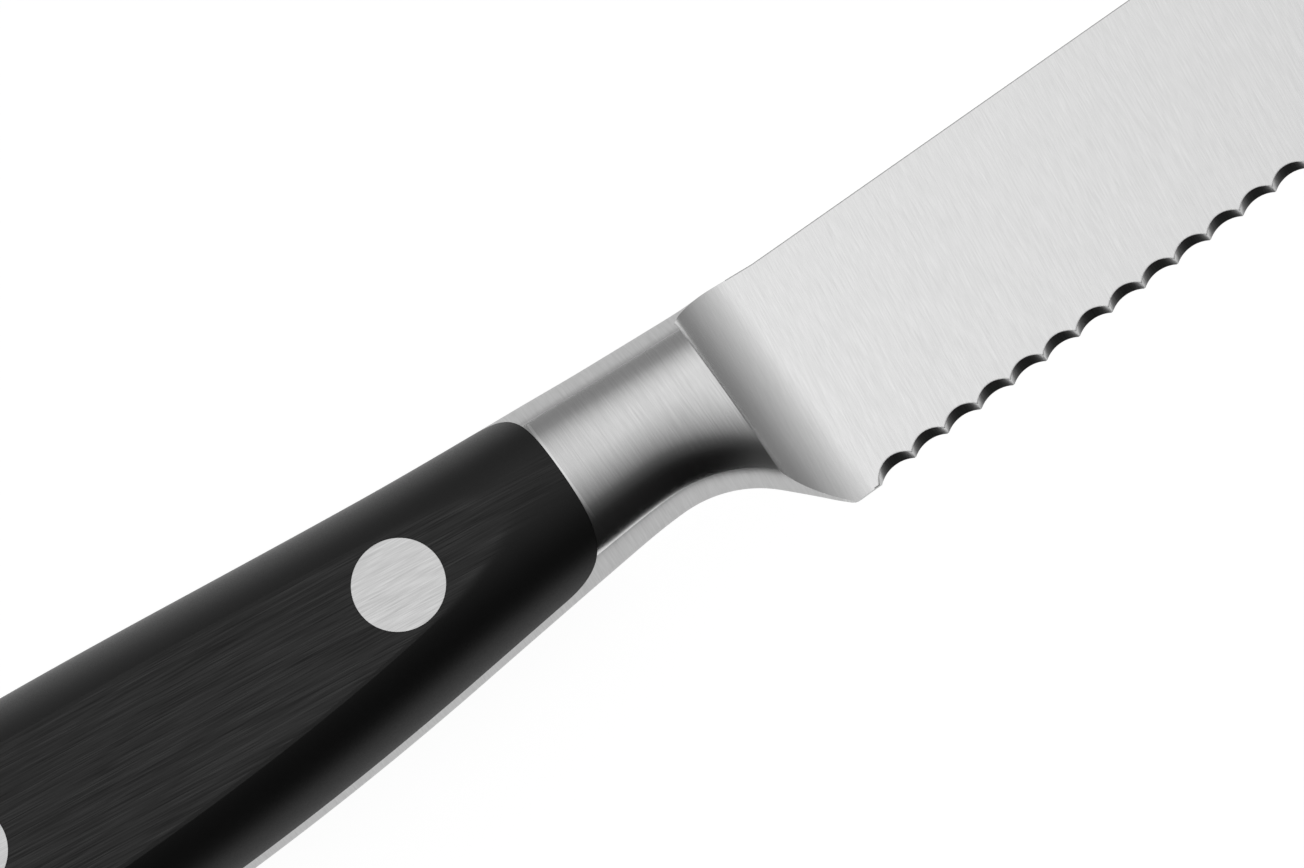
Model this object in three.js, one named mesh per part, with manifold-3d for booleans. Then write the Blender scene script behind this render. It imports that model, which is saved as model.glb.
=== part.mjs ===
// Forged full-tang steak knife with a scalloped edge, lying on its left handle scale.
// Millimetres, +Z up. The knife is drawn with x = 0 at the front of the scales, +x to the tip,
// y = 0 along the straight spine, +y to the spine side, z = 0 in the middle of the blade.
// It is then set down so that the origin is under the centre of its box.

import * as THREE from 'three';
import { mergeVertices } from 'three/addons/utils/BufferGeometryUtils.js';
import Module from 'manifold-3d';

// Lengths along the knife
const HANDLE_LENGTH = 109;
const HEEL_REACH = 16.23;
const GRIND_REACH = 17.9;
const BLADE_LENGTH = 120;

// Blade
const HEEL_DEPTH = 18.95;
const SPINE_THICKNESS = 2.4;
const EDGE_THICKNESS = 0.4;
const TIP_THINNING = 0.35;
const SPINE_STRAIGHT = 45;
const TIP_DROP = 9;
const TIP_CURVE = 41;
const TIP_BULGE = 26;
const SPINE_BULGE = 42;
const EDGE_RISE = THREE.MathUtils.degToRad(1.3);

// Plunge from the bolster down to the ground faces, and the choil under it
const PLUNGE_REACH = 5.2;
const PLUNGE_RISE = 2.4;
const PLUNGE_TURN = THREE.MathUtils.degToRad(74);
const CHOIL_RADIUS = 9.3;
const CHOIL_SLOPE = THREE.MathUtils.degToRad(46);
const HEEL_ROUND = 0.9;

// Scalloped edge, ground from the right side
const HEEL_FLAT = 2.47;
const TOOTH_STEP = 0.2;
const TOOTH_PITCH = 3;
const TOOTH_FLAT = 0.12;
const SCALLOP_DEPTH_RIGHT = 0.6;
const SCALLOP_DEPTH_LEFT = 0.47;
const SCALLOP_BEVEL = 0.4;
const PLAIN_TIP = 11;

// Handle and bolster: an oval section whose sides are ground flat. Rises and depths are measured
// from the spine line, and places back from the front of the scales.
const HANDLE_THICKNESS = 12;
const COLLAR_WIDTH = 11;
const COLLAR_RISE = 1.4;
const COLLAR_DEPTH = 12.46;
const NECK_WIDTH = 9;
const NECK_RISE = 0.96;
const NECK_DEPTH = 12.08;
const CREST_DEPTH = 5.05;
const GRIP_AT = 31;
const GRIP_RISE = 4.57;
const HUMP_AT = 63;
const HUMP_RISE = 6.9;
const TAIL_RISE = 2.6;
const FRONT_AT = 14;
const FRONT_RISE = 2.6;
const FRONT_DEPTH = 13.9;
const FRONT_WIDTH = 13.46;
const BELLY_AT = 42;
const BELLY_DEPTH = 15.42;
const WAIST_AT = 78;
const WAIST_DEPTH = 13.6;
const TAIL_DEPTH = 15.4;
const GRIP_WIDTH = 15.2;
const BUTT_ROUND = 9;

// Slopes of the handle's lines at those places, rising towards the tip
const TAIL_RISE_SLOPE = 0.17;
const GRIP_RISE_SLOPE = -0.118;
const FRONT_RISE_SLOPE = -0.108;
const COLLAR_RISE_SLOPE = -0.075;
const NECK_RISE_SLOPE = -0.064;
const SPINE_RISE_SLOPE = -0.075;
const TAIL_DEPTH_SLOPE = 0.02;
const FRONT_DEPTH_SLOPE = 0.108;
const COLLAR_DEPTH_SLOPE = 0.1;
const GRIP_WIDTH_SLOPE = -0.01;
const FRONT_WIDTH_SLOPE = -0.045;
const COLLAR_WIDTH_SLOPE = -0.1;
const NECK_WIDTH_SLOPE = -0.04;

// Power of the oval section: 2 is an ellipse, and more is squarer. Then how fast it changes.
const CHOIL_POWER = 1.9;
const BLADE_POWER = 10;
const CHOIL_POWER_SLOPE = 0;
const BLADE_POWER_SLOPE = 3;

// Tang, scales and their joint at the bolster
const TANG_THICKNESS = 2.5;
const SHOULDER_FILLET = 5;
const SHOULDER_SETBACK = 0.2;
const JOINT_GAP = 0.1;

// Two-piece compression rivets
const RIVET_HEAD = 7;
const RIVET_HEAD_DEPTH = 2.2;
const RIVET_TUBE = 4;
const RIVET_PIN = 2.5;
const RIVET_TUBE_GAP = 1.2;
const RIVET_PIN_GAP = 0.6;
const RIVET_FIT = 0.06;
const FRONT_RIVET_AT = 14.7;
const REAR_RIVET_INSET = 20.1;
const MIDDLE_RIVET_LIFT = 1.1;

// Facets
const OVAL_SIDES = 48;
const HANDLE_STATIONS = 20;
const BUTT_STATIONS = 6;
const BOLSTER_STATIONS = 20;
const HEEL_STATIONS = 6;
const ARC_STEPS = 8;
const TIP_STEPS = 12;
const SCALLOP_SIDES = 28;
const RIVET_SIDES = 32;

// Places that follow from the sizes above
const TIP_X = HEEL_REACH + BLADE_LENGTH;
const FIRST_TOOTH_X = HEEL_REACH + HEEL_FLAT;
const FIRST_SCALLOP_X = FIRST_TOOTH_X + TOOTH_PITCH / 2;
const CHOIL_RISE = CHOIL_RADIUS * (1 - Math.cos(CHOIL_SLOPE));
const CHOIL_LINE = (HEEL_DEPTH - NECK_DEPTH - CHOIL_RISE) / Math.tan(CHOIL_SLOPE);
const CHOIL_TURN_X = HEEL_REACH - CHOIL_LINE;
const NECK_X = CHOIL_TURN_X - CHOIL_RADIUS * Math.sin(CHOIL_SLOPE);
const HEEL_X = HEEL_REACH + HEEL_ROUND * Math.tan(CHOIL_SLOPE / 2);
const BLANK_END_X = FIRST_SCALLOP_X;
const OUTSIDE = HANDLE_THICKNESS / 2;
const SEAT = OUTSIDE - RIVET_HEAD_DEPTH;
// How far a cutter runs past what it cuts, how far the butt's rounding closes in on its end, and
// how far a scallop runs past both faces of the edge
const MARGIN = 2;
const BUTT_CLOSING = 0.985;
const SCALLOP_OVERRUN = 0.3;

const STEEL = { color: 0xd4d4d4, roughness: 0.32, metalness: 1 };
const RIVET_STEEL = { color: 0xcccccc, roughness: 0.3, metalness: 1 };
const BLACK = { color: 0x1b1b1b, roughness: 0.45, metalness: 0 };

const wasm = await Module();
wasm.setup();

// A closed three.js geometry as a solid for joining and cutting
function solid(geometry) {
  const bare = new THREE.BufferGeometry();
  bare.setAttribute('position', geometry.getAttribute('position'));
  bare.setIndex(geometry.getIndex());
  const merged = mergeVertices(bare, 1e-5);
  const vertProperties = new Float32Array(merged.getAttribute('position').array);
  const triVerts = new Uint32Array(merged.getIndex().array);
  return new wasm.Manifold(new wasm.Mesh({ numProp: 3, vertProperties, triVerts }));
}

// The three.js mesh of a finished solid
function mesh(name, body, look) {
  const { vertProperties, triVerts } = body.getMesh();
  const geometry = new THREE.BufferGeometry();
  geometry.setAttribute('position', new THREE.BufferAttribute(new Float32Array(vertProperties), 3));
  geometry.setIndex(new THREE.BufferAttribute(new Uint32Array(triVerts), 1));
  const node = new THREE.Mesh(geometry, new THREE.MeshStandardMaterial({ ...look, flatShading: true }));
  node.name = name;
  return node;
}

// A closed skin over rings that all have the same number of points. `flat` turns a point of a
// ring into the plane of that ring, where it turns left, with the skin rising out of that plane.
function loft(rings, flat) {
  const sides = rings[0].length;
  const positions = rings.flat().flatMap((p) => [p.x, p.y, p.z]);
  const index = [];
  for (let r = 0; r + 1 < rings.length; r += 1) {
    for (let s = 0; s < sides; s += 1) {
      const next = (s + 1) % sides;
      const a = r * sides + s;
      const b = r * sides + next;
      index.push(a, b, b + sides, a, b + sides, a + sides);
    }
  }
  const last = (rings.length - 1) * sides;
  for (const [a, b, c] of THREE.ShapeUtils.triangulateShape(rings[0].map(flat), [])) {
    index.push(c, b, a);
  }
  for (const [a, b, c] of THREE.ShapeUtils.triangulateShape(rings.at(-1).map(flat), [])) {
    index.push(last + a, last + b, last + c);
  }
  const geometry = new THREE.BufferGeometry();
  geometry.setAttribute('position', new THREE.Float32BufferAttribute(positions, 3));
  geometry.setIndex(index);
  return geometry;
}

// A smooth line through knots [x, value, slope], in order of x
function smooth(knots, x) {
  const after = THREE.MathUtils.clamp(knots.findIndex((k) => k[0] >= x), 1, knots.length - 1);
  const [x0, v0, m0] = knots[after - 1];
  const [x1, v1, m1] = knots[after];
  const span = x1 - x0;
  const t = (x - x0) / span;
  const hermite = (2 * t - 3) * t * t;
  return v0 * (1 + hermite) - v1 * hermite
    + span * t * (1 - t) * (m0 * (1 - t) - m1 * t);
}

// Back of the handle, over the bolster and down to the spine of the blade
const BACK = [
  [-HANDLE_LENGTH, TAIL_RISE, TAIL_RISE_SLOPE],
  [-HUMP_AT, HUMP_RISE, 0],
  [-GRIP_AT, GRIP_RISE, GRIP_RISE_SLOPE],
  [-FRONT_AT, FRONT_RISE, FRONT_RISE_SLOPE],
  [0, COLLAR_RISE, COLLAR_RISE_SLOPE],
  [NECK_X, NECK_RISE, NECK_RISE_SLOPE],
  [BLANK_END_X, 0, SPINE_RISE_SLOPE],
];

// Underside of the handle as far as the choil
const BELLY = [
  [-HANDLE_LENGTH, -TAIL_DEPTH, TAIL_DEPTH_SLOPE],
  [-WAIST_AT, -WAIST_DEPTH, 0],
  [-BELLY_AT, -BELLY_DEPTH, 0],
  [-FRONT_AT, -FRONT_DEPTH, FRONT_DEPTH_SLOPE],
  [0, -COLLAR_DEPTH, COLLAR_DEPTH_SLOPE],
  [NECK_X, -NECK_DEPTH, 0],
];

// Half width of the oval before its sides are ground flat
const WIDTH = [
  [-HANDLE_LENGTH, GRIP_WIDTH / 2, 0],
  [-HUMP_AT, GRIP_WIDTH / 2, GRIP_WIDTH_SLOPE],
  [-FRONT_AT, FRONT_WIDTH / 2, FRONT_WIDTH_SLOPE],
  [0, COLLAR_WIDTH / 2, COLLAR_WIDTH_SLOPE],
  [BLANK_END_X, NECK_WIDTH / 2, NECK_WIDTH_SLOPE],
];

// Line along which the oval is widest, ahead of the grip
const CREST = [
  [-FRONT_AT, (FRONT_RISE - FRONT_DEPTH) / 2, 0],
  [0, -CREST_DEPTH, 0],
  [BLANK_END_X, -CREST_DEPTH, 0],
];

// Power of the oval from the front of the bolster to the blade
const POWER = [
  [0, 2, 0],
  [CHOIL_TURN_X, CHOIL_POWER, CHOIL_POWER_SLOPE],
  [BLANK_END_X, BLADE_POWER, BLADE_POWER_SLOPE],
];

// Underside of the knife: belly, choil arc, straight choil, rounded heel
function underside(x) {
  if (x <= NECK_X) return smooth(BELLY, x);
  if (x <= CHOIL_TURN_X) {
    return CHOIL_RADIUS * (Math.cos(Math.asin((x - NECK_X) / CHOIL_RADIUS)) - 1) - NECK_DEPTH;
  }
  if (x <= HEEL_X - HEEL_ROUND * Math.sin(CHOIL_SLOPE)) {
    return -HEEL_DEPTH + (HEEL_REACH - x) * Math.tan(CHOIL_SLOPE);
  }
  return -HEEL_DEPTH + HEEL_ROUND - Math.sqrt(HEEL_ROUND ** 2 - Math.max(0, HEEL_X - x) ** 2);
}

// Height of the line along which the oval is widest
function crest(x) {
  return x < -FRONT_AT ? (smooth(BACK, x) + underside(x)) / 2 : smooth(CREST, x);
}

// Oval section of handle and bolster at x: it squares up towards the blade, and closes at the butt
function ovalRing(x) {
  const closing = (BUTT_CLOSING * Math.max(0, BUTT_ROUND - HANDLE_LENGTH - x)) / BUTT_ROUND;
  const share = Math.cbrt(1 - closing ** 3);
  const above = share * (smooth(BACK, x) - crest(x));
  const below = share * (crest(x) - underside(x));
  const width = smooth(WIDTH, x);
  const power = 2 / smooth(POWER, Math.max(x, 0));
  const ring = [];
  for (let i = 0; i < OVAL_SIDES; i += 1) {
    const turn = ((i + 0.5) / OVAL_SIDES) * 2 * Math.PI;
    const c = Math.cos(turn);
    const s = Math.sin(turn);
    ring.push(new THREE.Vector3(
      x,
      crest(x) + (c > 0 ? above : below) * Math.sign(c) * Math.abs(c) ** power,
      width * Math.sign(s) * Math.abs(s) ** power,
    ));
  }
  return ring;
}

// Evenly spaced values from a to b
function steps(a, b, count) {
  return Array.from({ length: count + 1 }, (_, i) => THREE.MathUtils.lerp(a, b, i / count));
}

// Blank of handle and bolster, with its sides ground flat
function handleBlank() {
  const butt = steps(0, 1, BUTT_STATIONS).map((t) => BUTT_ROUND * t * t - HANDLE_LENGTH);
  const handle = steps(BUTT_ROUND - HANDLE_LENGTH, 0, HANDLE_STATIONS).slice(1);
  const bolster = steps(0, HEEL_REACH, BOLSTER_STATIONS).slice(1);
  const heel = steps(HEEL_REACH, BLANK_END_X, HEEL_STATIONS).slice(1);
  const stations = [...butt, ...handle, ...bolster, ...heel];
  const oval = solid(loft(stations.map(ovalRing), (p) => new THREE.Vector2(p.y, p.z)));
  const reach = 2 * (HANDLE_LENGTH + TIP_X);
  return oval.intersect(solid(new THREE.BoxGeometry(reach, reach, HANDLE_THICKNESS)));
}

// Line of the tooth points at x, on the straight part of the edge
function toothLine(x) {
  return -HEEL_DEPTH + TOOTH_STEP + (x - FIRST_TOOTH_X) * Math.tan(EDGE_RISE);
}

// The curved edge from the straight part up to the tip
const EDGE_TURN_X = TIP_X - TIP_CURVE;
const EDGE_TURN = new THREE.Vector2(EDGE_TURN_X, toothLine(EDGE_TURN_X));
const EDGE_BULGE = new THREE.Vector2(EDGE_TURN_X + TIP_BULGE, toothLine(EDGE_TURN_X + TIP_BULGE));
const TIP = new THREE.Vector2(TIP_X, -TIP_DROP);

// Outline of the blade ahead of the heel, as thick plate
function bladePlate() {
  const startX = (FIRST_TOOTH_X + FIRST_SCALLOP_X) / 2;
  const dropX = HEEL_REACH + SPINE_STRAIGHT;
  const outline = new THREE.Shape();
  outline.moveTo(startX, toothLine(startX));
  outline.lineTo(EDGE_TURN.x, EDGE_TURN.y);
  outline.quadraticCurveTo(EDGE_BULGE.x, EDGE_BULGE.y, TIP.x, TIP.y);
  outline.quadraticCurveTo(dropX + SPINE_BULGE, 0, dropX, 0);
  outline.lineTo(startX, 0);
  outline.closePath();
  const depth = SPINE_THICKNESS + MARGIN;
  const plate = new THREE.ExtrudeGeometry(outline, { depth, bevelEnabled: false, curveSegments: TIP_STEPS });
  return solid(plate.translate(0, 0, -depth / 2));
}

// Half thickness of the ground blade
function bladeHalf(x, y) {
  const slope = (SPINE_THICKNESS - EDGE_THICKNESS) / HEEL_DEPTH;
  const thinning = (TIP_THINNING * (x - GRIND_REACH)) / (TIP_X - GRIND_REACH);
  return (SPINE_THICKNESS + slope * y - thinning) / 2;
}

// Fillet from the tang up to the shoulder, which stands a setback behind the origin
function shoulderArc(setback) {
  return steps(0, Math.PI / 2, ARC_STEPS).map((turn) => [
    SHOULDER_FILLET * (Math.sin(turn) - 1) - setback,
    TANG_THICKNESS / 2 + SHOULDER_FILLET * (1 - Math.cos(turn)),
  ]);
}

// Side of the forging from above: tang, fillet up to the shoulder, bolster, plunge that flattens
// out into the blade
function forgingSide(y, side) {
  const half = TANG_THICKNESS / 2;
  const far = HANDLE_THICKNESS;
  const points = [[-HANDLE_LENGTH - MARGIN, -far], [-HANDLE_LENGTH - MARGIN, half]];
  points.push(...shoulderArc(SHOULDER_SETBACK), [-SHOULDER_SETBACK, far]);
  points.push([GRIND_REACH - PLUNGE_REACH * Math.sin(PLUNGE_TURN), far]);
  for (const turn of steps(PLUNGE_TURN, 0, 2 * ARC_STEPS)) {
    const x = GRIND_REACH - PLUNGE_REACH * Math.sin(turn);
    points.push([x, bladeHalf(x, y) + PLUNGE_RISE * (1 - Math.cos(turn))]);
  }
  points.push([TIP_X + MARGIN, bladeHalf(TIP_X + MARGIN, y)], [TIP_X + MARGIN, -far]);
  const ring = points.map(([x, z]) => new THREE.Vector3(x, y, side * z));
  return side > 0 ? ring.reverse() : ring;
}

// Everything on the inner side of one side of the forging
function forgingHalf(side) {
  const ring = (y) => forgingSide(y, side);
  const rings = [ring(HUMP_RISE + MARGIN), ring(-HEEL_DEPTH - MARGIN)];
  return solid(loft(rings, (p) => new THREE.Vector2(p.x, p.z)));
}

// One scallop: a skewed cone, wider and shallower on the left face than on the right
function scallop(x, y, tilt) {
  const chord = TOOTH_PITCH - TOOTH_FLAT;
  const radius = (depth) => (chord * chord / 4 + depth * depth) / (2 * depth);
  const rings = [-SCALLOP_OVERRUN, 1 + SCALLOP_OVERRUN].map((across) => {
    const r = THREE.MathUtils.lerp(radius(SCALLOP_DEPTH_LEFT), radius(SCALLOP_DEPTH_RIGHT), across);
    const top = THREE.MathUtils.lerp(SCALLOP_DEPTH_LEFT, SCALLOP_BEVEL + SCALLOP_DEPTH_RIGHT, across);
    const z = EDGE_THICKNESS * (across - 0.5);
    return steps(0, 2 * Math.PI, SCALLOP_SIDES).slice(1).map((turn) => (
      new THREE.Vector3(r * Math.cos(turn), top - r + r * Math.sin(turn), z)));
  });
  const geometry = loft(rings, (p) => new THREE.Vector2(p.x, p.y));
  return solid(geometry.rotateZ(tilt).translate(x, y, 0));
}

// Scallops along the edge, a pitch apart, as far as the plain tip
function scallops() {
  const edge = new THREE.CurvePath();
  const start = new THREE.Vector2(FIRST_SCALLOP_X, toothLine(FIRST_SCALLOP_X));
  edge.add(new THREE.LineCurve(start, EDGE_TURN));
  edge.add(new THREE.QuadraticBezierCurve(EDGE_TURN, EDGE_BULGE, TIP));
  const length = edge.getLength();
  const cuts = [];
  for (let at = 0; at < length - PLAIN_TIP; at += TOOTH_PITCH) {
    const point = edge.getPointAt(at / length);
    const tangent = edge.getTangentAt(at / length);
    cuts.push(scallop(point.x, point.y, Math.atan2(tangent.y, tangent.x)));
  }
  return cuts;
}

// A turned piece standing on the rivet axis, from [radius, z] points
function turned(points, { x, y }) {
  const profile = points.map(([r, z]) => new THREE.Vector2(r, z));
  const geometry = new THREE.LatheGeometry(profile, RIVET_SIDES);
  return solid(geometry.rotateX(Math.PI / 2).translate(x, y, 0));
}

// Places of the rivets, on the middle of the handle's height
function rivetPlace(name, x, lift) {
  return { name, x, y: (smooth(BACK, x) + underside(x)) / 2 + lift };
}

const REAR_RIVET_X = REAR_RIVET_INSET - HANDLE_LENGTH;
const RIVETS = [
  rivetPlace('front', -FRONT_RIVET_AT, 0),
  rivetPlace('middle', (REAR_RIVET_X - FRONT_RIVET_AT) / 2, MIDDLE_RIVET_LIFT),
  rivetPlace('rear', REAR_RIVET_X, 0),
];

// Hole through tang and scales, counterbored from both sides for the heads
function rivetHole(at) {
  const tube = RIVET_TUBE / 2 + RIVET_FIT;
  const head = RIVET_HEAD / 2 + RIVET_FIT;
  const end = OUTSIDE + MARGIN;
  return turned([[0, -end], [head, -end], [head, -SEAT], [tube, -SEAT], [tube, SEAT], [head, SEAT],
    [head, end], [0, end]], at);
}

// Right half of a rivet: head and pin
function rivetMale(at) {
  const end = OUTSIDE + MARGIN;
  const tip = RIVET_PIN_GAP - SEAT;
  return turned([[0, tip], [RIVET_PIN / 2, tip], [RIVET_PIN / 2, SEAT], [RIVET_HEAD / 2, SEAT],
    [RIVET_HEAD / 2, end], [0, end]], at);
}

// Left half of a rivet: head and tube
function rivetFemale(at) {
  const end = OUTSIDE + MARGIN;
  const bore = RIVET_PIN / 2 + RIVET_FIT;
  const tip = SEAT - RIVET_TUBE_GAP;
  return turned([[0, -end], [RIVET_HEAD / 2, -end], [RIVET_HEAD / 2, -SEAT], [RIVET_TUBE / 2, -SEAT],
    [RIVET_TUBE / 2, tip], [bore, tip], [bore, -SEAT], [0, -SEAT]], at);
}

// Space of one scale: outside the tang, behind the shoulder and its fillet
function scaleSpace(side) {
  const half = TANG_THICKNESS / 2;
  const points = [[-HANDLE_LENGTH - MARGIN, HANDLE_THICKNESS], [-HANDLE_LENGTH - MARGIN, half]];
  const setback = SHOULDER_SETBACK + JOINT_GAP;
  points.push(...shoulderArc(setback), [-setback, HANDLE_THICKNESS]);
  const ring = (y) => {
    const around = points.map(([x, z]) => new THREE.Vector3(x, y, side * z));
    return side > 0 ? around : around.reverse();
  };
  const rings = [ring(HUMP_RISE + MARGIN), ring(-HEEL_DEPTH - MARGIN)];
  return solid(loft(rings, (p) => new THREE.Vector2(p.x, p.z)));
}

const blank = handleBlank();
const holes = RIVETS.map(rivetHole);
const drilled = (body) => holes.reduce((rest, hole) => rest.subtract(hole), body);

const forged = blank.add(bladePlate()).intersect(forgingHalf(1)).intersect(forgingHalf(-1));
const serrated = scallops().reduce((rest, cut) => rest.subtract(cut), forged);

const knife = new THREE.Group();
knife.add(mesh('forged_blade', drilled(serrated), STEEL));
knife.add(mesh('scale_right', drilled(blank.intersect(scaleSpace(1))), BLACK));
knife.add(mesh('scale_left', drilled(blank.intersect(scaleSpace(-1))), BLACK));
for (const at of RIVETS) {
  knife.add(mesh(`rivet_${at.name}_male`, rivetMale(at).intersect(blank), RIVET_STEEL));
  knife.add(mesh(`rivet_${at.name}_female`, rivetFemale(at).intersect(blank), RIVET_STEEL));
}

// Set down on the left scale, with the origin under the centre of the knife's box
const box = new THREE.Box3().setFromObject(knife);
const centre = box.getCenter(new THREE.Vector3());
knife.position.set(-centre.x, -centre.y, -box.min.z);

const part = new THREE.Group();
part.add(knife);

export default part;
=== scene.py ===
"""Looks of the steak knife: fine steel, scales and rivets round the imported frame, and a studio."""
import math

import bmesh
import bpy
from mathutils import Matrix, Vector


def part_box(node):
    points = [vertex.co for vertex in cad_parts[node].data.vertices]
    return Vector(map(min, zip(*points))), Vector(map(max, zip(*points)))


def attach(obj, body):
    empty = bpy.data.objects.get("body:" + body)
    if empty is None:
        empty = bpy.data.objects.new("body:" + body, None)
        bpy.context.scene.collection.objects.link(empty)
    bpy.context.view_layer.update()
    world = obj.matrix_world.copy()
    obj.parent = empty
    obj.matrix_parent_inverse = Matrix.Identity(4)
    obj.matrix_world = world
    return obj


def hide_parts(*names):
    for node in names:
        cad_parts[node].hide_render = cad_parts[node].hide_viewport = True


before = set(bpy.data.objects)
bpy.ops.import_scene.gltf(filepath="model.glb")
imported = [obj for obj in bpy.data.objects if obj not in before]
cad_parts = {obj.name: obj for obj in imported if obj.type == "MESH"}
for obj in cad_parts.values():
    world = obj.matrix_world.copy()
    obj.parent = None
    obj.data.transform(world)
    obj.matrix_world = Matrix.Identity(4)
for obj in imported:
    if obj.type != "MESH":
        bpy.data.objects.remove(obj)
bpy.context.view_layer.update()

# Everything is drawn in millimetres with x = 0 at the front of the scales, +x to the tip, y = 0 on the
# straight spine, +y to the spine side and z = 0 in the middle of the blade, then set into the frame.
MM = 0.001

# Lengths along the knife
HANDLE_LENGTH = 109.0
HEEL_REACH = 16.23
GRIND_REACH = 17.9
BLADE_LENGTH = 120.0

# Blade
HEEL_DEPTH = 18.95
SPINE_THICKNESS = 2.4
EDGE_THICKNESS = 0.4
TIP_THINNING = 0.35
SPINE_STRAIGHT = 45.0
TIP_DROP = 9.0
TIP_CURVE = 41.0
TIP_BULGE = 26.0
SPINE_BULGE = 42.0
EDGE_RISE = math.radians(1.3)

# Plunge and choil
PLUNGE_REACH = 5.2
PLUNGE_RISE = 2.4
PLUNGE_TURN = math.radians(74)
CHOIL_RADIUS = 9.3
CHOIL_SLOPE = math.radians(46)
HEEL_ROUND = 0.9

# Scalloped edge
HEEL_FLAT = 2.47
TOOTH_STEP = 0.2
TOOTH_PITCH = 3.0
TOOTH_FLAT = 0.12
SCALLOP_DEPTH_RIGHT = 0.6
SCALLOP_DEPTH_LEFT = 0.47
SCALLOP_BEVEL = 0.4
SCALLOP_OVERRUN = 0.3
PLAIN_TIP = 11.0

# Handle and bolster
HANDLE_THICKNESS = 12.0
COLLAR_WIDTH = 11.0
COLLAR_RISE = 1.4
COLLAR_DEPTH = 12.46
NECK_WIDTH = 9.0
NECK_RISE = 0.96
NECK_DEPTH = 12.08
GRIP_AT = 31.0
GRIP_RISE = 4.57
HUMP_AT = 63.0
HUMP_RISE = 6.9
TAIL_RISE = 2.6
FRONT_AT = 14.0
FRONT_RISE = 2.6
FRONT_DEPTH = 13.9
FRONT_WIDTH = 13.46
BELLY_AT = 42.0
BELLY_DEPTH = 15.42
WAIST_AT = 78.0
WAIST_DEPTH = 13.6
TAIL_DEPTH = 15.4
GRIP_WIDTH = 15.2
BUTT_ROUND = 9.0
BUTT_CLOSING = 0.985
BUTT_POWER = 3
CREST_DEPTH = 5.05
OVAL_POWER = 2.0
CHOIL_POWER = 1.9
BLADE_POWER = 10.0
BLADE_POWER_SLOPE = 3.0
FLAT_BLEND = 0.12
FLAT_LIMIT = 0.985
ROUNDING_SHARE = 0.7

# Slopes of the handle's lines
TAIL_RISE_SLOPE = 0.17
GRIP_RISE_SLOPE = -0.118
FRONT_RISE_SLOPE = -0.108
COLLAR_RISE_SLOPE = -0.075
NECK_RISE_SLOPE = -0.064
SPINE_RISE_SLOPE = -0.075
TAIL_DEPTH_SLOPE = 0.02
FRONT_DEPTH_SLOPE = 0.108
COLLAR_DEPTH_SLOPE = 0.1
GRIP_WIDTH_SLOPE = -0.01
FRONT_WIDTH_SLOPE = -0.045
COLLAR_WIDTH_SLOPE = -0.1
NECK_WIDTH_SLOPE = -0.04

# Tang, scales and rivets
TANG_THICKNESS = 2.5
SHOULDER_FILLET = 5.0
SHOULDER_SETBACK = 0.2
JOINT_GAP = 0.04
RIVET_HEAD = 7.0
RIVET_HEAD_DEPTH = 2.2
RIVET_TUBE = 4.0
RIVET_PIN = 2.5
RIVET_TUBE_GAP = 1.2
RIVET_PIN_GAP = 0.6
RIVET_FIT = 0.03
FRONT_RIVET_AT = 14.7
REAR_RIVET_INSET = 20.1
MIDDLE_RIVET_LIFT = 1.1

# Facets of the fine meshes
OVAL_SIDES = 192
HANDLE_STATIONS = 70
BUTT_STATIONS = 16
BOLSTER_STATIONS = 72
HEEL_STATIONS = 20
ARC_STEPS = 24
TIP_STEPS = 40
EDGE_PATH_STEPS = 800
SCALLOP_SIDES = 96
RIVET_SIDES = 128
SHARP_ANGLE = math.radians(10)

# How far cutting shapes reach past what they cut
MARGIN = 2.0

# Borders between the finishes of the forging: its rim strip of brighter steel, partly a painted highlight,
# and its back and belly of darker steel, partly painted shade
HIGHLIGHT_RIM_WIDTH = 0.1
HIGHLIGHT_RIM_SIDE = 4.2
SHADED_BACK_TURN = math.radians(49)
SHADED_BELLY_TURN = math.radians(30)
EDGE_LEAD = 0.7
GROUND_TOLERANCE = 0.02

# Places that follow from the sizes above
TIP_X = HEEL_REACH + BLADE_LENGTH
FIRST_TOOTH_X = HEEL_REACH + HEEL_FLAT
FIRST_SCALLOP_X = FIRST_TOOTH_X + TOOTH_PITCH / 2
CHOIL_RISE = CHOIL_RADIUS * (1 - math.cos(CHOIL_SLOPE))
CHOIL_LINE = (HEEL_DEPTH - NECK_DEPTH - CHOIL_RISE) / math.tan(CHOIL_SLOPE)
CHOIL_TURN_X = HEEL_REACH - CHOIL_LINE
NECK_X = CHOIL_TURN_X - CHOIL_RADIUS * math.sin(CHOIL_SLOPE)
CREASE_X = GRIND_REACH - PLUNGE_REACH * math.sin(PLUNGE_TURN)
OUTSIDE = HANDLE_THICKNESS / 2
SEAT = OUTSIDE - RIVET_HEAD_DEPTH
EDGE_START_X = HEEL_REACH - EDGE_LEAD
REAR_X = -HANDLE_LENGTH - MARGIN
AHEAD_X = TIP_X + MARGIN
CUT_ENDS = (HUMP_RISE + MARGIN, -HEEL_DEPTH - MARGIN)
BRUSH_AXIS_DEPTH = HEEL_DEPTH / 3
PLACE = Matrix.Translation(
    (
        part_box("forged_blade")[1].x - TIP_X * MM,
        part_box("forged_blade")[0].y + HEEL_DEPTH * MM,
        OUTSIDE * MM,
    )
)

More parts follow.
